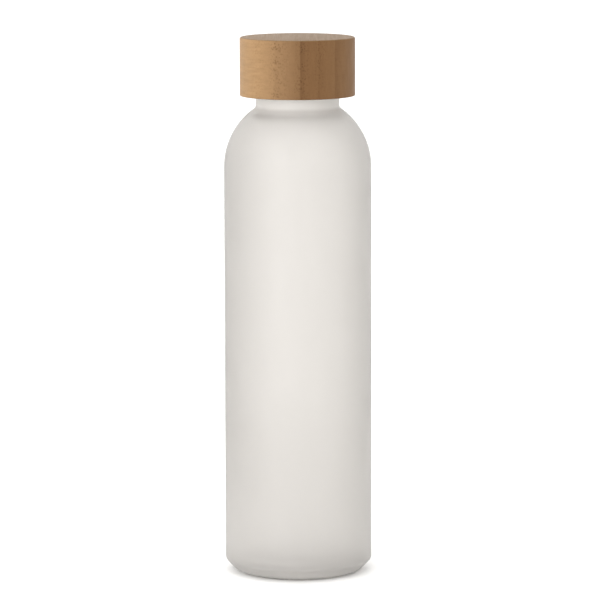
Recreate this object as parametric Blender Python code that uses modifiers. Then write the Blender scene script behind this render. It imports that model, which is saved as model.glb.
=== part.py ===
"""A half-litre frosted glass water bottle with a turned bamboo screw cap.

The bottle stands on z = 0 with its axis on +Z. It is one hollow glass body with a screw thread on its neck.
The cap is a bamboo shell with a bonded plastic liner, which carries the internal thread, and a silicone ring
that seals on the glass lip. The cap's parts hang on an empty at the cap's lower edge, on the thread's axis.
"""

import math

import bmesh
import bpy

MM = 0.001

# Driving sizes
BODY_RADIUS = 31.5 * MM
TOTAL_HEIGHT = 230.5 * MM
GLASS_WALL = 2.0 * MM
CAP_RADIUS = 24.6 * MM
CAP_HEIGHT = 25.0 * MM
FIT_GAP = 0.3 * MM  # room between pieces that touch in the real object
CAP_BASE_Z = TOTAL_HEIGHT - CAP_HEIGHT

# Shoulder: an arc that turns from the body's wall towards the neck, then a small concave fillet
SHOULDER_Z = 175.0 * MM
SHOULDER_ARC = 30.65 * MM
SHOULDER_CENTRE = BODY_RADIUS - SHOULDER_ARC
NECK_RADIUS = 17.85 * MM
NECK_FILLET = 2.0 * MM

# Heel and base
HEEL_HEIGHT = 5.2 * MM
HEEL_CORNER = 2.5 * MM
FOOT_RADIUS = 26.6 * MM
FOOT_CORNER = 7.0 * MM
RING_RADIUS = 20.6 * MM  # inner edge of the flat ring that the bottle stands on
PUSH_UP_RADIUS = 18.0 * MM
PUSH_UP_EDGE = 1.5 * MM
PUSH_UP_CROWN = 1.1 * MM
FLOOR_Z = 5.0 * MM
FLOOR_CROWN = 1.2 * MM
FLOOR_CORNER = 7.0 * MM

# Neck finish: lip, thread and the bead under the thread
BORE_RADIUS = 14.2 * MM
LIP_Z = 222.6 * MM
LIP_CORNER = 1.1 * MM
FINISH_RADIUS = 17.5 * MM
BEAD_RADIUS = 18.5 * MM
BEAD_TOP_Z = 209.4 * MM
BEAD_HEIGHT = 1.6 * MM
BEAD_SLOPE = 0.6 * MM

# Thread: six turns to the inch, one and a half turns on each piece
THREAD_PITCH = 25.4 * MM / 6
THREAD_TURNS = 1.5
THREAD_LOW_Z = 213.0 * MM
GLASS_RIDGE = 1.2 * MM
LINER_RIDGE = 0.85 * MM
RIDGE_RUN_IN = math.radians(45)  # the arc over which a ridge rises out of its wall

# Bamboo shell
SHELL_BORE = 21.5 * MM
SHELL_DEPTH = 21.5 * MM
SHELL_TOP_EDGE = 0.8 * MM
SHELL_LOW_EDGE = 0.4 * MM

# Liner, measured up from the cap's lower edge
LINER_RADIUS = SHELL_BORE - FIT_GAP
LINER_BORE = 19.25 * MM
LINER_LOW = 0.5 * MM
LINER_TOP = SHELL_DEPTH - FIT_GAP
LINER_PLATE = 1.2 * MM
LINER_EDGE = 0.4 * MM
RIB_RADIUS = 13.4 * MM
RIB_WIDTH = 1.2 * MM
RIB_DEPTH = 1.0 * MM

# Gasket
GASKET_INNER = RIB_RADIUS + FIT_GAP
GASKET_OUTER = 18.9 * MM
GASKET_EDGE = 0.3 * MM

SEGMENTS = 48
ARC_ERROR = 0.05 * MM  # how far an arc's chords may lie inside it
RIDGE_POINTS_PER_TURN = 36
WELD = 0.00001
SHARP_ANGLE = math.radians(32)


def clear_scene():
    for obj in list(bpy.data.objects):
        bpy.data.objects.remove(obj, do_unlink=True)


def new_collection(name):
    collection = bpy.data.collections.new(name)
    bpy.context.scene.collection.children.link(collection)
    return collection


def principled(name, colour, roughness, metallic=0.0, transmission=0.0):
    material = bpy.data.materials.new(name)
    material.use_nodes = True
    shader = material.node_tree.nodes["Principled BSDF"]
    shader.inputs["Base Color"].default_value = (*colour, 1.0)
    shader.inputs["Roughness"].default_value = roughness
    shader.inputs["Metallic"].default_value = metallic
    shader.inputs["Transmission Weight"].default_value = transmission
    return material


def arc(centre_r, centre_z, radius, start, end):
    """Points on a circle, with both ends, close enough together for ARC_ERROR. Angles are in radians from +r."""
    widest = 2 * math.acos(1 - ARC_ERROR / radius)
    steps = math.ceil(abs(end - start) / widest)
    angles = [start + (end - start) * i / steps for i in range(steps + 1)]
    return [(centre_r + radius * math.cos(a), centre_z + radius * math.sin(a)) for a in angles]


def rounded(corners):
    """An outline through corners of (r, z, rounding radius), with an arc at each corner that has a radius."""
    points = []
    for i, (r, z, radius) in enumerate(corners):
        if not radius:
            points.append((r, z))
            continue
        before = math.atan2(corners[i - 1][1] - z, corners[i - 1][0] - r)
        after = math.atan2(corners[i + 1][1] - z, corners[i + 1][0] - r)
        opening = math.remainder(after - before, math.tau)
        middle = before + opening / 2
        reach = radius / math.sin(abs(opening) / 2)
        centre_r = r + reach * math.cos(middle)
        centre_z = z + reach * math.sin(middle)
        side = math.copysign(math.pi / 2, opening)
        start = before - side
        turn = math.copysign(math.pi - abs(opening), -opening)
        points += arc(centre_r, centre_z, radius, start, start + turn)
    return points


def dome(rim_radius, rim_z, height):
    """An arc from the rim of a shallow dome to its top, on the axis."""
    radius = (rim_radius**2 + height**2) / (2 * height)
    half = math.asin(rim_radius / radius)
    return arc(0.0, rim_z + height - radius, radius, math.pi / 2 - half, math.pi / 2)


def turned(name, outline, material, collection, closed=False):
    """A solid turned about Z from an outline that runs down its outer side."""
    mesh = bpy.data.meshes.new(name)
    edges = [(i, i + 1) for i in range(len(outline) - 1)]
    if closed:
        edges.append((len(outline) - 1, 0))
    mesh.from_pydata([(r, 0.0, z) for r, z in outline], edges, [])
    obj = bpy.data.objects.new(name, mesh)
    collection.objects.link(obj)
    screw = obj.modifiers.new("Turn", "SCREW")
    screw.axis = "Z"
    screw.steps = SEGMENTS
    screw.render_steps = SEGMENTS
    screw.use_merge_vertices = True
    screw.merge_threshold = WELD
    graph = bpy.context.evaluated_depsgraph_get()
    obj.data = bpy.data.meshes.new_from_object(obj.evaluated_get(graph))
    obj.data.name = name
    obj.modifiers.clear()
    obj.data.materials.append(material)
    obj.data.shade_smooth()
    obj.data.set_sharp_from_angle(angle=SHARP_ANGLE)
    return obj


def helix(radius, buried_radius, low_z):
    """Points up a right-hand thread, whose ends run down into the wall at buried_radius."""
    count = round(RIDGE_POINTS_PER_TURN * THREAD_TURNS)
    sweep = THREAD_TURNS * math.tau
    points = []
    for i in range(count + 1):
        angle = sweep * i / count
        rise = min(1.0, angle / RIDGE_RUN_IN, (sweep - angle) / RIDGE_RUN_IN)
        smooth = rise * rise * (3 - 2 * rise)
        r = buried_radius + (radius - buried_radius) * smooth
        z = low_z + THREAD_PITCH * angle / math.tau
        points.append((r * math.cos(angle), r * math.sin(angle), z))
    return points


def thread_ridge(name, points, section_radius, collection):
    """A round ridge along points, as a closed mesh that a Boolean can join."""
    curve = bpy.data.curves.new(name, "CURVE")
    curve.dimensions = "3D"
    curve.bevel_depth = section_radius
    curve.bevel_resolution = 2
    curve.use_fill_caps = True
    curve.twist_mode = "Z_UP"
    spline = curve.splines.new("POLY")
    spline.points.add(len(points) - 1)
    for point, place in zip(spline.points, points):
        point.co = (*place, 1.0)
    route = bpy.data.objects.new(name + "_route", curve)
    collection.objects.link(route)
    graph = bpy.context.evaluated_depsgraph_get()
    mesh = bpy.data.meshes.new_from_object(route.evaluated_get(graph))
    solid = bmesh.new()
    solid.from_mesh(mesh)
    bmesh.ops.remove_doubles(solid, verts=solid.verts, dist=WELD)
    bmesh.ops.recalc_face_normals(solid, faces=solid.faces)
    solid.to_mesh(mesh)
    solid.free()
    ridge = bpy.data.objects.new(name, mesh)
    ridge.matrix_world = route.matrix_world
    collection.objects.link(ridge)
    bpy.data.objects.remove(route, do_unlink=True)
    ridge.hide_render = True
    ridge.display_type = "WIRE"
    return ridge


def join_ridge(obj, ridge):
    union = obj.modifiers.new("Thread", "BOOLEAN")
    union.operation = "UNION"
    union.solver = "EXACT"
    union.object = ridge


def bottle_inside():
    """The inner surface, from the middle of the floor up to the start of the bore."""
    wall_radius = BODY_RADIUS - GLASS_WALL
    arc_radius = SHOULDER_ARC - GLASS_WALL
    fillet = NECK_FILLET + GLASS_WALL
    fillet_r = BORE_RADIUS + fillet
    span = arc_radius + fillet
    turn = math.acos((fillet_r - SHOULDER_CENTRE) / span)
    fillet_z = SHOULDER_Z + span * math.sin(turn)
    crown = dome(PUSH_UP_RADIUS, FLOOR_Z, FLOOR_CROWN)[::-1]
    heel = rounded([
        (PUSH_UP_RADIUS, FLOOR_Z, 0),
        (wall_radius, FLOOR_Z, FLOOR_CORNER),
        (wall_radius, SHOULDER_Z, 0),
    ])
    shoulder = arc(SHOULDER_CENTRE, SHOULDER_Z, arc_radius, 0.0, turn)
    throat = arc(fillet_r, fillet_z, fillet, math.pi + turn, math.pi)
    return crown + heel[1:-1] + shoulder + throat[1:]


def bottle_finish():
    """The lip, the wall that the thread stands on and the bead below it."""
    return rounded([
        (BORE_RADIUS, BEAD_TOP_Z, 0),
        (BORE_RADIUS, LIP_Z, LIP_CORNER),
        (FINISH_RADIUS, LIP_Z, LIP_CORNER),
        (FINISH_RADIUS, BEAD_TOP_Z + BEAD_SLOPE, 0),
        (BEAD_RADIUS, BEAD_TOP_Z, 0),
        (BEAD_RADIUS, BEAD_TOP_Z - BEAD_HEIGHT, 0),
        (NECK_RADIUS, BEAD_TOP_Z - BEAD_HEIGHT - BEAD_SLOPE, 0),
    ])[1:]


def bottle_outside():
    """The outer surface, from the neck down to the middle of the underside."""
    span = SHOULDER_ARC + NECK_FILLET
    fillet_r = NECK_RADIUS + NECK_FILLET
    turn = math.acos((fillet_r - SHOULDER_CENTRE) / span)
    fillet_z = SHOULDER_Z + span * math.sin(turn)
    neck = arc(fillet_r, fillet_z, NECK_FILLET, math.pi, math.pi + turn)
    shoulder = arc(SHOULDER_CENTRE, SHOULDER_Z, SHOULDER_ARC, turn, 0.0)
    base = rounded([
        (BODY_RADIUS, SHOULDER_Z, 0),
        (BODY_RADIUS, HEEL_HEIGHT, HEEL_CORNER),
        (FOOT_RADIUS, 0.0, FOOT_CORNER),
        (RING_RADIUS, 0.0, 0),
        (PUSH_UP_RADIUS, PUSH_UP_EDGE, 0),
    ])
    push_up = dome(PUSH_UP_RADIUS, PUSH_UP_EDGE, PUSH_UP_CROWN)
    return neck + shoulder[1:] + base[1:] + push_up[1:]


def make_bottle(collection, ridges):
    glass = principled("frosted_glass", (0.83, 0.81, 0.78), 0.45, transmission=0.6)
    outline = bottle_inside() + bottle_finish() + bottle_outside()
    bottle = turned("glass_bottle", outline, glass, collection)
    buried_radius = FINISH_RADIUS - GLASS_RIDGE - FIT_GAP
    points = helix(FINISH_RADIUS, buried_radius, THREAD_LOW_Z)
    join_ridge(bottle, thread_ridge("glass_thread", points, GLASS_RIDGE, ridges))
    return bottle


def make_shell(collection):
    bamboo = principled("bamboo", (0.45, 0.28, 0.15), 0.5)
    outline = rounded([
        (0.0, CAP_HEIGHT, 0),
        (CAP_RADIUS, CAP_HEIGHT, SHELL_TOP_EDGE),
        (CAP_RADIUS, 0.0, SHELL_LOW_EDGE),
        (SHELL_BORE, 0.0, 0),
        (SHELL_BORE, SHELL_DEPTH, 0),
        (0.0, SHELL_DEPTH, 0),
    ])
    return turned("bamboo_cap", outline, bamboo, collection)


def make_liner(collection, ridges):
    plastic = principled("liner_plastic", (0.85, 0.85, 0.83), 0.4)
    underside = LINER_TOP - LINER_PLATE
    outline = rounded([
        (0.0, LINER_TOP, 0),
        (LINER_RADIUS, LINER_TOP, LINER_EDGE),
        (LINER_RADIUS, LINER_LOW, 0),
        (LINER_BORE, LINER_LOW, LINER_EDGE),
        (LINER_BORE, underside, 0),
        (RIB_RADIUS, underside, 0),
        (RIB_RADIUS, underside - RIB_DEPTH, 0),
        (RIB_RADIUS - RIB_WIDTH, underside - RIB_DEPTH, 0),
        (RIB_RADIUS - RIB_WIDTH, underside, 0),
        (0.0, underside, 0),
    ])
    liner = turned("cap_liner", outline, plastic, collection)
    radius = LINER_BORE - FIT_GAP / 2
    buried_radius = LINER_BORE + LINER_RIDGE + FIT_GAP / 2
    low_z = THREAD_LOW_Z - THREAD_PITCH / 2 - CAP_BASE_Z
    points = helix(radius, buried_radius, low_z)
    ridge = thread_ridge("liner_thread", points, LINER_RIDGE, ridges)
    join_ridge(liner, ridge)
    return liner, ridge


def make_gasket(collection):
    silicone = principled("silicone", (0.75, 0.75, 0.74), 0.6)
    top = LINER_TOP - LINER_PLATE - FIT_GAP
    bottom = LIP_Z + FIT_GAP - CAP_BASE_Z
    middle = (GASKET_INNER + GASKET_OUTER) / 2
    outline = rounded([
        (middle, top, 0),
        (GASKET_OUTER, top, GASKET_EDGE),
        (GASKET_OUTER, bottom, GASKET_EDGE),
        (GASKET_INNER, bottom, GASKET_EDGE),
        (GASKET_INNER, top, GASKET_EDGE),
        (middle, top, 0),
    ])[:-1]
    return turned("sealing_gasket", outline, silicone, collection, closed=True)


def main():
    clear_scene()
    parts = new_collection("glass_water_bottle")
    ridges = new_collection("thread_ridges")
    make_bottle(parts, ridges)
    cap_axis = bpy.data.objects.new("cap_axis", None)
    cap_axis.location.z = CAP_BASE_Z
    parts.objects.link(cap_axis)
    for piece in (make_shell(parts), *make_liner(parts, ridges), make_gasket(parts)):
        piece.parent = cap_axis


main()
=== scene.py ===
"""The looks of a half-litre frosted glass water bottle with a turned bamboo screw cap.

Each CAD node is replaced by a finer piece of the same size, turned from the same outline.
Lengths are in metres.
"""

import math
from collections import namedtuple

import bpy
import numpy as np
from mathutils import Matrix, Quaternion, Vector


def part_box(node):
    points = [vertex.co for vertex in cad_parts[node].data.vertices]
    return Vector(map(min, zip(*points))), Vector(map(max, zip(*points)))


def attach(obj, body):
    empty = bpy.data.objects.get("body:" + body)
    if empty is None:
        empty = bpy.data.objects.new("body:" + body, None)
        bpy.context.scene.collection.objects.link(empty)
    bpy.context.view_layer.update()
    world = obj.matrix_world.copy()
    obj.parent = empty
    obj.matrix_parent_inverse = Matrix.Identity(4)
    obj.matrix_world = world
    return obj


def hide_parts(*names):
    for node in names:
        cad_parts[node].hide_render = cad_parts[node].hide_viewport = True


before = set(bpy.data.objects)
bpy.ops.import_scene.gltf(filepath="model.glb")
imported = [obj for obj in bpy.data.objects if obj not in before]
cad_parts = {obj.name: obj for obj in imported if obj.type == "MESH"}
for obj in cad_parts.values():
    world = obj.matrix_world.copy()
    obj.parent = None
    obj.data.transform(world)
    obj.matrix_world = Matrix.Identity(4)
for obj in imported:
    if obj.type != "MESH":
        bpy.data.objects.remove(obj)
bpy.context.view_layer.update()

MM = 0.001

# Sizes that the frame gives
glass_low, glass_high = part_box("glass_bottle")
shell_low, shell_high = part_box("bamboo_cap")
liner_low, liner_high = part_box("cap_liner")
gasket_low, gasket_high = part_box("sealing_gasket")
BODY_RADIUS = glass_high.x
LIP_Z = glass_high.z
CAP_RADIUS = shell_high.x
CAP_BASE_Z = shell_low.z
CAP_TOP_Z = shell_high.z
LINER_RADIUS = liner_high.x
GASKET_OUTER = gasket_high.x

# Sizes of the CAD outline that a box doesn't show
FIT_GAP = 0.3 * MM
GLASS_WALL = 2.0 * MM
SHOULDER_Z = 175.0 * MM
SHOULDER_ARC = 30.65 * MM
SHOULDER_CENTRE = BODY_RADIUS - SHOULDER_ARC
NECK_RADIUS = 17.85 * MM
NECK_FILLET = 2.0 * MM
HEEL_HEIGHT = 5.2 * MM
HEEL_CORNER = 2.5 * MM
FOOT_RADIUS = 26.6 * MM
FOOT_CORNER = 7.0 * MM
RING_RADIUS = 20.6 * MM
PUSH_UP_RADIUS = 18.0 * MM
PUSH_UP_EDGE = 1.5 * MM
PUSH_UP_CROWN = 1.1 * MM
FLOOR_Z = 5.0 * MM
FLOOR_CROWN = 1.2 * MM
FLOOR_CORNER = 7.0 * MM
BORE_RADIUS = 14.2 * MM
FINISH_RADIUS = 17.5 * MM
BEAD_RADIUS = 18.5 * MM
BEAD_TOP_Z = 209.4 * MM
BEAD_HEIGHT = 1.6 * MM
BEAD_SLOPE = 0.6 * MM
LINER_BORE = 19.25 * MM
LINER_PLATE = 1.2 * MM
LINER_EDGE = 0.4 * MM
RIB_RADIUS = 13.4 * MM
RIB_WIDTH = 1.2 * MM
RIB_DEPTH = 1.0 * MM
SHELL_BORE = 21.5 * MM
SHELL_CEILING_Z = CAP_BASE_Z + 21.5 * MM
SHELL_TOP_EDGE = 0.8 * MM
SHELL_LOW_EDGE = 0.4 * MM
GASKET_INNER = RIB_RADIUS + FIT_GAP

# Edges that are rounder here than in the CAD outline
LIP_CORNER = 1.4 * MM
RING_EDGE = 0.5 * MM
BEAD_EDGE = 0.35 * MM
GASKET_EDGE = 0.4 * MM
SMALL_EDGE = 0.25 * MM

# The thread: a right-hand helix, with a ridge on the glass and one in the liner half a pitch below it.
# A height is positive where the ridge stands outwards and negative where it stands inwards.
THREAD_PITCH = 25.4 * MM / 6
THREAD_TURNS = 1.5
THREAD_LOW_Z = 213.0 * MM
GLASS_RIDGE_HEIGHT = 1.2 * MM
LINER_RIDGE_HEIGHT = -1.0 * MM
RIDGE_HALF_WIDTH = 1.45 * MM
RIDGE_FULLNESS = 0.7  # below 1, the crest is fuller and the flanks are steeper than a plain wave's
RIDGE_RUN_IN = math.radians(45)  # the turn over which a ridge rises out of its wall

# How fine the meshes are
SEGMENTS = 192
ARC_STEP = math.radians(6)
ROW_SPACING = 0.2 * MM
SHARP_ANGLE = math.radians(40)
ON_WALL = 1e-6  # a point this close to a wall's radius lies on the wall
ON_AXIS = 1e-9

# A thread's ridge on the wall of radius wall, between two heights. Its helix starts at start_z.
Ridge = namedtuple("Ridge", "low_z high_z wall start_z height")


# ---------------------------------------------------------------- outlines

def arc(centre_r, centre_z, radius, start, end):
    """Points on a circle with both ends, at most ARC_STEP apart. Angles are in radians from +r."""
    steps = max(2, math.ceil(abs(end - start) / ARC_STEP))
    angles = [start + (end - start) * i / steps for i in range(steps + 1)]
    return [(centre_r + radius * math.cos(a), centre_z + radius * math.sin(a)) for a in angles]


def rounded(corners):
    """An outline through corners of (r, z, rounding radius), with an arc where that radius isn't 0."""
    points = []
    for i, (r, z, radius) in enumerate(corners):
        if not radius:
            points.append((r, z))
            continue
        before = math.atan2(corners[i - 1][1] - z, corners[i - 1][0] - r)
        after = math.atan2(corners[i + 1][1] - z, corners[i + 1][0] - r)
        opening = math.remainder(after - before, math.tau)
        middle = before + opening / 2
        reach = radius / math.sin(abs(opening) / 2)
        centre_r = r + reach * math.cos(middle)
        centre_z = z + reach * math.sin(middle)
        start = before - math.copysign(math.pi / 2, opening)
        turn = math.copysign(math.pi - abs(opening), -opening)
        points += arc(centre_r, centre_z, radius, start, start + turn)
    return points


def dome(rim_radius, rim_z, height):
    """An arc from the rim of a shallow dome to its top, on the axis."""
    radius = (rim_radius**2 + height**2) / (2 * height)
    half = math.asin(rim_radius / radius)
    return arc(0.0, rim_z + height - radius, radius, math.pi / 2 - half, math.pi / 2)


def with_rows(outline, low_z, high_z):
    """The outline with points at most ROW_SPACING apart on its straight runs between two heights."""
    points = [outline[0]]
    for (r0, z0), (r1, z1) in zip(outline, outline[1:]):
        inside = low_z <= min(z0, z1) and max(z0, z1) <= high_z
        count = math.ceil(math.dist((r0, z0), (r1, z1)) / ROW_SPACING) if inside else 1
        points += [(r0 + (r1 - r0) * i / count, z0 + (z1 - z0) * i / count) for i in range(1, count + 1)]
    return points


def bottle_inside():
    """The inner surface, from the middle of the floor up to the start of the bore."""
    wall_radius = BODY_RADIUS - GLASS_WALL
    arc_radius = SHOULDER_ARC - GLASS_WALL
    fillet = NECK_FILLET + GLASS_WALL
    fillet_r = BORE_RADIUS + fillet
    span = arc_radius + fillet
    turn = math.acos((fillet_r - SHOULDER_CENTRE) / span)
    fillet_z = SHOULDER_Z + span * math.sin(turn)
    crown = dome(PUSH_UP_RADIUS, FLOOR_Z, FLOOR_CROWN)[::-1]
    heel = rounded([
        (PUSH_UP_RADIUS, FLOOR_Z, 0),
        (wall_radius, FLOOR_Z, FLOOR_CORNER),
        (wall_radius, SHOULDER_Z, 0),
    ])
    shoulder = arc(SHOULDER_CENTRE, SHOULDER_Z, arc_radius, 0.0, turn)
    throat = arc(fillet_r, fillet_z, fillet, math.pi + turn, math.pi)
    return crown + heel[1:-1] + shoulder + throat[1:]


def bottle_finish():
    """The lip, the wall that the thread stands on and the bead below it."""
    bead_low_z = BEAD_TOP_Z - BEAD_HEIGHT
    return rounded([
        (BORE_RADIUS, BEAD_TOP_Z, 0),
        (BORE_RADIUS, LIP_Z, LIP_CORNER),
        (FINISH_RADIUS, LIP_Z, LIP_CORNER),
        (FINISH_RADIUS, BEAD_TOP_Z + BEAD_SLOPE, BEAD_EDGE),
        (BEAD_RADIUS, BEAD_TOP_Z, BEAD_EDGE),
        (BEAD_RADIUS, bead_low_z, BEAD_EDGE),
        (NECK_RADIUS, bead_low_z - BEAD_SLOPE, BEAD_EDGE),
        (NECK_RADIUS, CAP_BASE_Z, 0),
    ])[1:]


def bottle_outside():
    """The outer surface, from the neck down to the middle of the underside."""
    span = SHOULDER_ARC + NECK_FILLET
    fillet_r = NECK_RADIUS + NECK_FILLET
    turn = math.acos((fillet_r - SHOULDER_CENTRE) / span)
    fillet_z = SHOULDER_Z + span * math.sin(turn)
    neck = arc(fillet_r, fillet_z, NECK_FILLET, math.pi, math.pi + turn)
    shoulder = arc(SHOULDER_CENTRE, SHOULDER_Z, SHOULDER_ARC, turn, 0.0)
    base = rounded([
        (BODY_RADIUS, SHOULDER_Z, 0),
        (BODY_RADIUS, HEEL_HEIGHT, HEEL_CORNER),
        (FOOT_RADIUS, 0.0, FOOT_CORNER),
        (RING_RADIUS, 0.0, RING_EDGE),
        (PUSH_UP_RADIUS, PUSH_UP_EDGE, 0),
    ])
    push_up = dome(PUSH_UP_RADIUS, PUSH_UP_EDGE, PUSH_UP_CROWN)
    return neck + shoulder[1:] + base[1:] + push_up[1:]


def shell_outline():
    return rounded([
        (0.0, CAP_TOP_Z, 0),
        (CAP_RADIUS, CAP_TOP_Z, SHELL_TOP_EDGE),
        (CAP_RADIUS, CAP_BASE_Z, SHELL_LOW_EDGE),
        (SHELL_BORE, CAP_BASE_Z, SMALL_EDGE),
        (SHELL_BORE, SHELL_CEILING_Z, SMALL_EDGE),
        (0.0, SHELL_CEILING_Z, 0),
    ])


def liner_outline():
    low_z = liner_low.z
    top_z = liner_high.z
    under_z = top_z - LINER_PLATE
    rib_z = under_z - RIB_DEPTH
    return rounded([
        (0.0, top_z, 0),
        (LINER_RADIUS, top_z, LINER_EDGE),
        (LINER_RADIUS, low_z, SMALL_EDGE),
        (LINER_BORE, low_z, LINER_EDGE),
        (LINER_BORE, under_z, SMALL_EDGE),
        (RIB_RADIUS, under_z, 0),
        (RIB_RADIUS, rib_z, SMALL_EDGE),
        (RIB_RADIUS - RIB_WIDTH, rib_z, SMALL_EDGE),
        (RIB_RADIUS - RIB_WIDTH, under_z, SMALL_EDGE),
        (0.0, under_z, 0),
    ])


def gasket_outline():
    """The ring's section, all the way round from the middle of its top."""
    middle = (GASKET_INNER + GASKET_OUTER) / 2
    return rounded([
        (middle, gasket_high.z, 0),
        (GASKET_OUTER, gasket_high.z, GASKET_EDGE),
        (GASKET_OUTER, gasket_low.z, GASKET_EDGE),
        (GASKET_INNER, gasket_low.z, GASKET_EDGE),
        (GASKET_INNER, gasket_high.z, GASKET_EDGE),
        (middle, gasket_high.z, 0),
    ])[:-1]


# ---------------------------------------------------------------- turned meshes

def ridge_height(z, angle, ridge):
    """How far a thread's ridge stands out of its wall at each height and angle."""
    sweep = THREAD_TURNS * math.tau
    out = np.zeros(np.broadcast(z, angle).shape)
    for turn in range(math.ceil(THREAD_TURNS) + 1):
        along = angle + turn * math.tau
        rise = np.clip(np.minimum(along, sweep - along) / RIDGE_RUN_IN, 0.0, 1.0)
        rise = rise * rise * (3 - 2 * rise)
        away = np.abs(z - ridge.start_z - THREAD_PITCH * along / math.tau) / RIDGE_HALF_WIDTH
        wave = np.cos(np.clip(away, 0.0, 1.0) * math.pi / 2) ** 2
        out = np.maximum(out, wave**RIDGE_FULLNESS * rise)
    return out * ridge.height


def turned(name, outline, materials, closed=False, ridge=None, slot_of=None):
    """A smooth mesh turned about Z from an outline that runs down its outer side.

    ridge is a screw thread's Ridge on one wall. slot_of gives the material slot of the span after point i.
    """
    points = np.array(outline)
    angles = np.arange(SEGMENTS) * math.tau / SEGMENTS
    radius = np.repeat(points[:, :1], SEGMENTS, axis=1)
    height = np.repeat(points[:, 1:], SEGMENTS, axis=1)
    if ridge:
        on_wall = (np.abs(radius - ridge.wall) < ON_WALL) & (height > ridge.low_z) & (height < ridge.high_z)
        radius = radius + on_wall * ridge_height(height, angles[None, :], ridge)
    grid = np.stack([radius * np.cos(angles), radius * np.sin(angles), height], axis=-1)
    on_axis = points[:, 0] < ON_AXIS
    vertices = []
    ring_start = []
    for row, single in zip(grid, on_axis):
        ring_start.append(len(vertices))
        vertices += [row[0]] if single else list(row)
    faces = []
    slots = []
    spans = len(outline) if closed else len(outline) - 1
    for i in range(spans):
        j = (i + 1) % len(outline)
        a, b = ring_start[i], ring_start[j]
        slot = slot_of(i) if slot_of else 0
        for k in range(SEGMENTS):
            n = (k + 1) % SEGMENTS
            if on_axis[i]:
                faces.append((a, b + k, b + n))
            elif on_axis[j]:
                faces.append((a + n, a + k, b))
            else:
                faces.append((a + n, a + k, b + k, b + n))
            slots.append(slot)
    mesh = bpy.data.meshes.new(name)
    mesh.from_pydata([tuple(v) for v in vertices], [], faces)
    mesh.polygons.foreach_set("material_index", slots)
    for material in materials:
        mesh.materials.append(material)
    mesh.shade_smooth()
    mesh.set_sharp_from_angle(angle=SHARP_ANGLE)
    obj = bpy.data.objects.new(name, mesh)
    bpy.context.scene.collection.objects.link(obj)
    return obj


# ---------------------------------------------------------------- node trees

NOISE_LOW = 0.3  # a noise texture's values lie mostly between these two
NOISE_HIGH = 0.7


def grey(value):
    return (value, value, value)


def opaque(colour):
    return (*colour, 1.0)


class Tree:
    """A node tree, with short ways to add nodes and links."""

    def __init__(self, node_tree):
        self.nodes = node_tree.nodes
        self.links = node_tree.links

    def add(self, kind, **settings):
        node = self.nodes.new(kind)
        for key, value in settings.items():
            setattr(node, key, value)
        return node

    def join(self, value, socket):
        """Link an output to the socket, or set the socket to a plain value."""
        if isinstance(value, bpy.types.NodeSocket):
            self.links.new(value, socket)
        else:
            socket.default_value = value

    def math(self, operation, *values):
        node = self.add("ShaderNodeMath", operation=operation)
        for socket, value in zip(node.inputs, values):
            self.join(value, socket)
        return node.outputs[0]

    def vector(self, operation, *values):
        node = self.add("ShaderNodeVectorMath", operation=operation)
        for socket, value in zip(node.inputs, values):
            self.join(value, socket)
        return node.outputs["Value" if operation == "DOT_PRODUCT" else "Vector"]

    def split(self, vector):
        """The X, Y and Z of a vector, as outputs by name."""
        node = self.add("ShaderNodeSeparateXYZ")
        self.join(vector, node.inputs[0])
        return node.outputs

    def mix(self, share, a, b, blend="MIX"):
        node = self.add("ShaderNodeMix", data_type="RGBA", blend_type=blend)
        for socket, value in zip((node.inputs[0], node.inputs[6], node.inputs[7]), (share, a, b)):
            self.join(value, socket)
        return node.outputs[2]

    def coordinates(self, kind):
        return self.add("ShaderNodeTexCoord").outputs[kind]

    def place(self, scale=(1, 1, 1)):
        """Object coordinates, scaled."""
        mapping = self.add("ShaderNodeMapping")
        mapping.inputs["Scale"].default_value = scale
        self.join(self.coordinates("Object"), mapping.inputs["Vector"])
        return mapping.outputs[0]

    def noise(self, vector, scale, detail=2.0, roughness=0.5):
        node = self.add("ShaderNodeTexNoise")
        node.inputs["Scale"].default_value = scale
        node.inputs["Detail"].default_value = detail
        node.inputs["Roughness"].default_value = roughness
        self.join(vector, node.inputs["Vector"])
        return node.outputs["Fac"]

    def ramp(self, value, stops):
        """A colour ramp. stops is a list of (position, colour), in rising order."""
        node = self.add("ShaderNodeValToRGB")
        ramp = node.color_ramp
        while len(ramp.elements) < len(stops):
            ramp.elements.new(1.0)
        for element, (position, colour) in zip(ramp.elements, stops):
            element.position = position
            element.color = opaque(colour)
        self.join(value, node.inputs[0])
        return node.outputs[0]

    def grey_ramp(self, value, *stops):
        return self.ramp(value, [(position, grey(shade)) for position, shade in stops])

    def spread(self, noise, low, high):
        """A grey that goes from low to high over the values that a noise texture mostly has."""
        return self.grey_ramp(noise, (NOISE_LOW, low), (NOISE_HIGH, high))


class Surface(Tree):
    """A material with a Principled shader. A socket's name is given with _ for a space."""

    def __init__(self, name):
        self.material = bpy.data.materials.new(name)
        self.material.use_nodes = True
        super().__init__(self.material.node_tree)
        self.shader = self.nodes["Principled BSDF"]

    def set(self, **values):
        """Plain values and outputs for the shader's own sockets."""
        for key, value in values.items():
            self.join(value, self.shader.inputs[key.replace("_", " ")])

    def bump(self, height, distance, strength):
        node = self.add("ShaderNodeBump")
        node.inputs["Distance"].default_value = distance
        node.inputs["Strength"].default_value = strength
        self.join(height, node.inputs["Height"])
        self.set(Normal=node.outputs[0])


# ---------------------------------------------------------------- glass, plastic and silicone

GLASS_IOR = 1.5
WAVE_STRETCH = (1, 1, 0.3)
FROST_TINT = (0.685, 0.66, 0.632)

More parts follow.
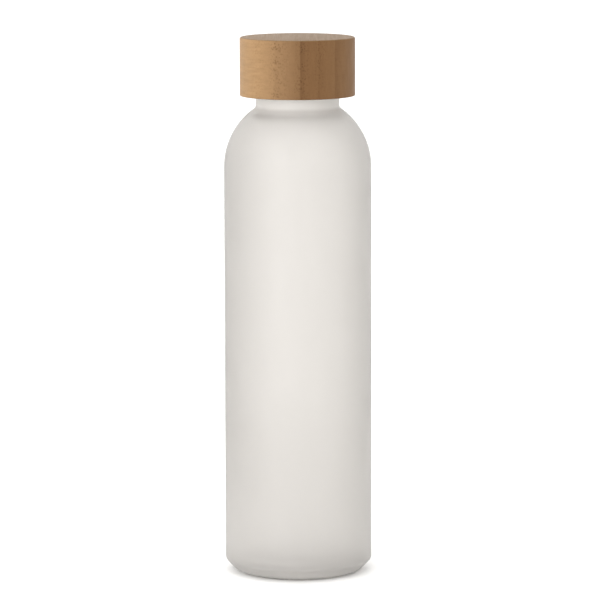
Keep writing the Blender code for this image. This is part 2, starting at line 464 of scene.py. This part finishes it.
# How much of the light the frosted glass lets through instead of scattering it, by height
FROST_CLEAR = [
    (0.0, 0.6),
    (20.0 * MM, 0.6),
    (70.0 * MM, 0.85),
    (180.0 * MM, 0.85),
    (190.0 * MM, 0.7),
    (198.3 * MM, 0.65),
    (199.4 * MM, 0.22),
    (204.5 * MM, 0.22),
    (209.0 * MM, 0.85),
]

PLASTIC_COLOURS = [(NOISE_LOW, (0.80, 0.80, 0.78)), (NOISE_HIGH, (0.86, 0.86, 0.84))]
SILICONE_COLOURS = [(NOISE_LOW, (0.70, 0.70, 0.69)), (NOISE_HIGH, (0.78, 0.78, 0.77))]


def frosted_glass():
    """Etched glass, in which light spreads as it passes. It is etched more densely at base and neck."""
    surface = Surface("frosted_glass")
    where = surface.place()
    height = surface.math("DIVIDE", surface.split(where)["Z"], LIP_Z)
    cloud = surface.noise(where, scale=60.0, detail=3.0)
    surface.set(
        IOR=GLASS_IOR,
        Base_Color=opaque(FROST_TINT),
        Transmission_Weight=surface.grey_ramp(height, *[(z / LIP_Z, share) for z, share in FROST_CLEAR]),
        Roughness=surface.spread(cloud, 0.47, 0.53),
    )
    surface.bump(surface.noise(where, scale=4000.0, detail=1.0), distance=0.01 * MM, strength=0.3)
    return surface.material


def inner_glass():
    """The inside of the bottle, smooth but for faint upright waves from the blowing."""
    surface = Surface("inner_glass")
    waves = surface.noise(surface.place(WAVE_STRETCH), scale=80.0)
    surface.set(
        IOR=GLASS_IOR,
        Base_Color=opaque(grey(1.0)),
        Transmission_Weight=1.0,
        Roughness=surface.spread(waves, 0.15, 0.22),
    )
    surface.bump(waves, distance=0.1 * MM, strength=0.3)
    return surface.material


def liner_plastic():
    """Moulded polypropylene, slightly translucent, with a faint mould grain."""
    surface = Surface("liner_plastic")
    where = surface.place()
    cloud = surface.noise(where, scale=120.0)
    surface.set(
        Base_Color=surface.ramp(cloud, PLASTIC_COLOURS),
        Subsurface_Weight=0.15,
        Subsurface_Scale=1.0 * MM,
        Roughness=surface.spread(cloud, 0.34, 0.46),
    )
    surface.bump(surface.noise(where, scale=2500.0), distance=0.02 * MM, strength=0.4)
    return surface.material


def silicone():
    """Soft matte silicone with a dusty bloom."""
    surface = Surface("silicone")
    where = surface.place()
    cloud = surface.noise(where, scale=200.0, detail=3.0)
    surface.set(
        Base_Color=surface.ramp(cloud, SILICONE_COLOURS),
        Roughness=surface.spread(cloud, 0.55, 0.7),
    )
    surface.bump(surface.noise(where, scale=3000.0), distance=0.02 * MM, strength=0.4)
    return surface.material


# ---------------------------------------------------------------- bamboo

# Strips glued side by side across X, with their fibres along Y. left is a strip's left edge. Its shade goes
# from the first to the second of its two shades, left to right, where 0 is dark and 1 is light. These shades
# are the strips' own tones with painted light, lighter on the cap's left and falling off towards its right.
# bundles is how dense its fibre bundles are, and joint is how dark the glue joint on its left is.
Strip = namedtuple("Strip", "left left_shade right_shade bundles joint")
STRIPS = [
    Strip(-CAP_RADIUS, 1.0, 0.93, 0.25, 0.0),
    Strip(-17.5 * MM, 0.93, 0.58, 0.4, 0.15),
    Strip(-9.4 * MM, 0.55, 0.2, 1.0, 0.3),
    Strip(1.3 * MM, 0.08, 0.12, 0.9, 1.0),
    Strip(9.0 * MM, 0.11, 0.18, 0.5, 0.5),
    Strip(16.0 * MM, 0.16, 0.2, 0.25, 0.8),
]
STEP_WIDTH = 0.01 * MM  # the shade changes from strip to strip over this width
JOINT_WIDTH = 0.3 * MM
STAIN_WIDTH = 2.4 * MM  # how far the dark of a joint fades into the strip on its right
STAIN_SHARE = 0.6  # how dark the stain starts, against the joint
BUNDLES_END = 0.65  # the share of a strip's width over which its fibre bundles thin out
FEWEST_BUNDLES = 0.05
BUNDLE_SCALE = 1250.0  # fibre bundles to the metre
BUNDLE_FADE = [(0.12, 1.1), (0.52, -0.4)]  # how strong a bundle's dot is, by the distance from its middle
PATCH_FADE = [(0.35, 0.5), (0.55, 1.0)]  # how strong the dots are, by the noise that makes the patches

# A pattern is long where its stretch is small. All of them run on along the fibres, which lie along Y.
BUNDLE_STRETCH = (1, 0.03, 0.8)
PATCH_STRETCH = (1, 0.05, 0.5)
STREAK_STRETCH = (1, 0.03, 0.12)
RIPPLE_STRETCH = (0.3, 0.05, 1)

BAMBOO_LIGHT = (0.352, 0.214, 0.104)
BAMBOO_DARK = (0.128, 0.060, 0.021)
# The top's colour: its long-grain tone, greyed by a painted sheen of reflected light.
BAMBOO_TOP_AND_SHEEN = (0.200, 0.128, 0.068)
TOP_FACE = [(0.5, 0.0), (0.95, 0.9)]  # how far a face has the top's colour, by how level it is
MARK_TINT = (-0.38, -0.44, -0.52)  # what a fibre bundle or a joint takes from each colour
JOINT_MARK = 0.5  # how strongly a joint marks the wood, against a fibre bundle
TOP_FADE = 0.7  # how much the marks fade on the top
BAMBOO_SPECULAR = 0.15


def across_strips(surface, across, profile):
    """A ramp across the cap.

    profile(strip, width) gives a strip's stops, as (distance from its left edge, value).
    """
    stops = []
    edges = [strip.left for strip in STRIPS[1:]] + [CAP_RADIUS]
    for strip, right in zip(STRIPS, edges):
        for distance, value in profile(strip, right - strip.left):
            stops.append(((strip.left + distance) / (2 * CAP_RADIUS) + 0.5, value))
    return surface.grey_ramp(across, *stops)


# A strip's shade: its own tone with painted light, lighter towards the cap's left and darker towards its
# right.
def tone_and_light_stops(strip, width):
    return [(0.0, strip.left_shade), (width - STEP_WIDTH, strip.right_shade)]


def bundle_stops(strip, width):
    """Fibre bundles are densest at a strip's left, which was the outside of the cane."""
    return [(0.0, strip.bundles), (BUNDLES_END * width, FEWEST_BUNDLES)]


def joint_stops(strip, width):
    """A thin dark line at the joint on a strip's left, and a paler stain that fades away from it."""
    dark = strip.joint
    return [(0.0, dark), (JOINT_WIDTH, STAIN_SHARE * dark), (STAIN_WIDTH, 0.0), (width - JOINT_WIDTH, 0.0)]


def fibre_dots(surface, dense):
    """The ends of the fibre bundles: small dots, in patches, as many as dense says."""
    bundles = surface.add("ShaderNodeTexVoronoi")
    bundles.inputs["Scale"].default_value = BUNDLE_SCALE
    surface.join(surface.place(BUNDLE_STRETCH), bundles.inputs["Vector"])
    dots = surface.grey_ramp(bundles.outputs["Distance"], *BUNDLE_FADE)
    cloud = surface.noise(surface.place(PATCH_STRETCH), scale=300.0)
    patches = surface.grey_ramp(cloud, *PATCH_FADE)
    return surface.math("MULTIPLY", surface.math("MULTIPLY", dots, dense), patches)


def tinted(surface, share, colour, tint):
    """The colour, multiplied by the tint as far as share says."""
    return surface.mix(share, colour, surface.mix(1.0, colour, tint, "MULTIPLY"))


def bamboo():
    """End grain at front and back, with dots of fibre bundles, and long grain on the sides and the top, with
    painted light that falls off from the cap's left to its right, and a painted sheen that greys the top.
    """
    surface = Surface("bamboo")
    x = surface.split(surface.coordinates("Object"))["X"]
    across = surface.math("ADD", surface.math("DIVIDE", x, 2 * CAP_RADIUS), 0.5)
    shade = across_strips(surface, across, tone_and_light_stops)
    dense = across_strips(surface, across, bundle_stops)
    joint = across_strips(surface, across, joint_stops)
    level = surface.math("ABSOLUTE", surface.split(surface.coordinates("Normal"))["Z"])
    top_face_and_sheen = surface.grey_ramp(level, *TOP_FACE)
    dots = fibre_dots(surface, dense)
    streaks = surface.noise(surface.place(STREAK_STRETCH), scale=1100.0, detail=3.0, roughness=0.6)
    ripples = surface.noise(surface.place(RIPPLE_STRETCH), scale=900.0)

    # The strips' own tones, with painted light that falls off from the cap's left to its right.
    colour = surface.mix(shade, opaque(BAMBOO_DARK), opaque(BAMBOO_LIGHT))
    colour = tinted(surface, shade, colour, surface.spread(ripples, 0.9, 1.08))
    streaked = surface.spread(streaks, 0.94, 1.05)
    colour = tinted(surface, surface.math("SUBTRACT", 1.0, shade), colour, streaked)
    # The level top takes the top's colour, with its painted sheen.
    colour = surface.mix(top_face_and_sheen, colour, surface.mix(1.0, opaque(BAMBOO_TOP_AND_SHEEN), streaked, "MULTIPLY"))
    marks = surface.math("ADD", dots, surface.math("MULTIPLY", joint, JOINT_MARK))
    kept = surface.math("SUBTRACT", 1.0, surface.math("MULTIPLY", top_face_and_sheen, TOP_FADE))
    marks = surface.math("MULTIPLY", marks, kept)
    stain = surface.vector("MULTIPLY_ADD", marks, MARK_TINT, grey(1.0))
    surface.set(
        Base_Color=surface.vector("MULTIPLY", colour, stain),
        Roughness=surface.spread(streaks, 0.58, 0.48),
        Specular_IOR_Level=BAMBOO_SPECULAR,
    )
    surface.bump(surface.math("SUBTRACT", streaks, dots), distance=0.04 * MM, strength=0.4)
    return surface.material


# ---------------------------------------------------------------- pieces

def make_bottle():
    inside = bottle_inside()
    finish = with_rows(bottle_finish(), BEAD_TOP_Z, LIP_Z)
    outline = inside + finish + bottle_outside()
    lip_middle = len(inside) + sum(1 for r, z in finish if r < FINISH_RADIUS - LIP_CORNER)
    bottle = turned(
        "frosted_bottle",
        outline,
        [frosted_glass(), inner_glass()],
        ridge=Ridge(
            low_z=BEAD_TOP_Z + BEAD_SLOPE,
            high_z=LIP_Z - LIP_CORNER,
            wall=FINISH_RADIUS,
            start_z=THREAD_LOW_Z,
            height=GLASS_RIDGE_HEIGHT,
        ),
        slot_of=lambda i: int(i < lip_middle),
    )
    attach(bottle, "bottle")
    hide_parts("glass_bottle")


def make_shell():
    shell = turned("bamboo_shell", shell_outline(), [bamboo()])
    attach(shell, "cap")
    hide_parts("bamboo_cap")


def make_liner():
    ridge = Ridge(
        low_z=CAP_BASE_Z + 2 * LINER_EDGE,
        high_z=liner_high.z,
        wall=LINER_BORE,
        start_z=THREAD_LOW_Z - THREAD_PITCH / 2,
        height=LINER_RIDGE_HEIGHT,
    )
    outline = with_rows(liner_outline(), liner_low.z, liner_high.z)
    liner = turned("threaded_liner", outline, [liner_plastic()], ridge=ridge)
    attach(liner, "cap")
    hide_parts("cap_liner")


def make_gasket():
    gasket = turned("silicone_ring", gasket_outline(), [silicone()], closed=True)
    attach(gasket, "seal")
    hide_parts("sealing_gasket")


# ---------------------------------------------------------------- the studio

CAMERA_DISTANCE = 1.6405
CAMERA_HEIGHT = 0.3441
CAMERA_ASIDE = 0.00085
CAMERA_ROLL = math.radians(-0.14)
CAMERA_REACH = 50.0
AIM_Z = 0.1174
LENS_MM = 231.3

FLOOR_HALF = 6.0
FLOOR_COLOUR = (0.97, 0.97, 0.965)
FLOOR_ROUGHNESS = 0.9

# The soft light from all round: its strength, how that grows along an axis, and how it falls to the sides
STUDIO_COLOUR = (1.0, 0.995, 0.985)
STUDIO_STRENGTH = 1.38
STUDIO_GRADIENT = (-0.1, 0.0, 0.15)
STUDIO_FALL = (-0.42, 0.0, 0.0)

KEY_PLACE = (-0.9, -1.6, 0.5)
KEY_AIM = (0.0, 0.0, 0.12)
KEY_SIZE = 1.2
KEY_WATTS = 11.0


def make_floor():
    surface = Surface("floor")
    surface.set(Base_Color=opaque(FLOOR_COLOUR), Roughness=FLOOR_ROUGHNESS)
    mesh = bpy.data.meshes.new("floor")
    corners = [(-1, -1), (1, -1), (1, 1), (-1, 1)]
    mesh.from_pydata([(x * FLOOR_HALF, y * FLOOR_HALF, 0.0) for x, y in corners], [], [(0, 1, 2, 3)])
    mesh.materials.append(surface.material)
    floor = bpy.data.objects.new("floor", mesh)
    bpy.context.scene.collection.objects.link(floor)


def make_world():
    world = bpy.data.worlds.new("studio")
    world.use_nodes = True
    tree = Tree(world.node_tree)
    direction = tree.coordinates("Generated")
    squared = tree.vector("MULTIPLY", direction, direction)
    fall = tree.vector("DOT_PRODUCT", squared, STUDIO_FALL)
    gradient = tree.vector("DOT_PRODUCT", direction, STUDIO_GRADIENT)
    strength = tree.math("ADD", tree.math("ADD", gradient, fall), STUDIO_STRENGTH)
    background = tree.nodes["Background"]
    background.inputs["Color"].default_value = opaque(STUDIO_COLOUR)
    tree.join(strength, background.inputs["Strength"])
    bpy.context.scene.world = world


def make_key_light():
    light = bpy.data.lights.new("key_light", "AREA")
    light.shape = "SQUARE"
    light.size = KEY_SIZE
    light.energy = KEY_WATTS
    lamp = bpy.data.objects.new("key_light", light)
    lamp.location = KEY_PLACE
    lamp.rotation_mode = "QUATERNION"
    lamp.rotation_quaternion = (Vector(KEY_AIM) - Vector(KEY_PLACE)).to_track_quat("-Z", "Y")
    bpy.context.scene.collection.objects.link(lamp)


def make_camera():
    data = bpy.data.cameras.new("camera")
    data.lens = LENS_MM
    data.clip_end = CAMERA_REACH
    camera = bpy.data.objects.new("camera", data)
    camera.location = (CAMERA_ASIDE, -CAMERA_DISTANCE, CAMERA_HEIGHT)
    aim = Vector((CAMERA_ASIDE, 0.0, AIM_Z))
    camera.rotation_mode = "QUATERNION"
    upright = (aim - camera.location).to_track_quat("-Z", "Y")
    camera.rotation_quaternion = upright @ Quaternion((0, 0, 1), CAMERA_ROLL)
    bpy.context.scene.collection.objects.link(camera)
    bpy.context.scene.camera = camera


def main():
    make_bottle()
    make_shell()
    make_liner()
    make_gasket()
    make_floor()
    make_world()
    make_key_light()
    make_camera()
    bpy.context.scene.view_settings.view_transform = "Standard"


main()
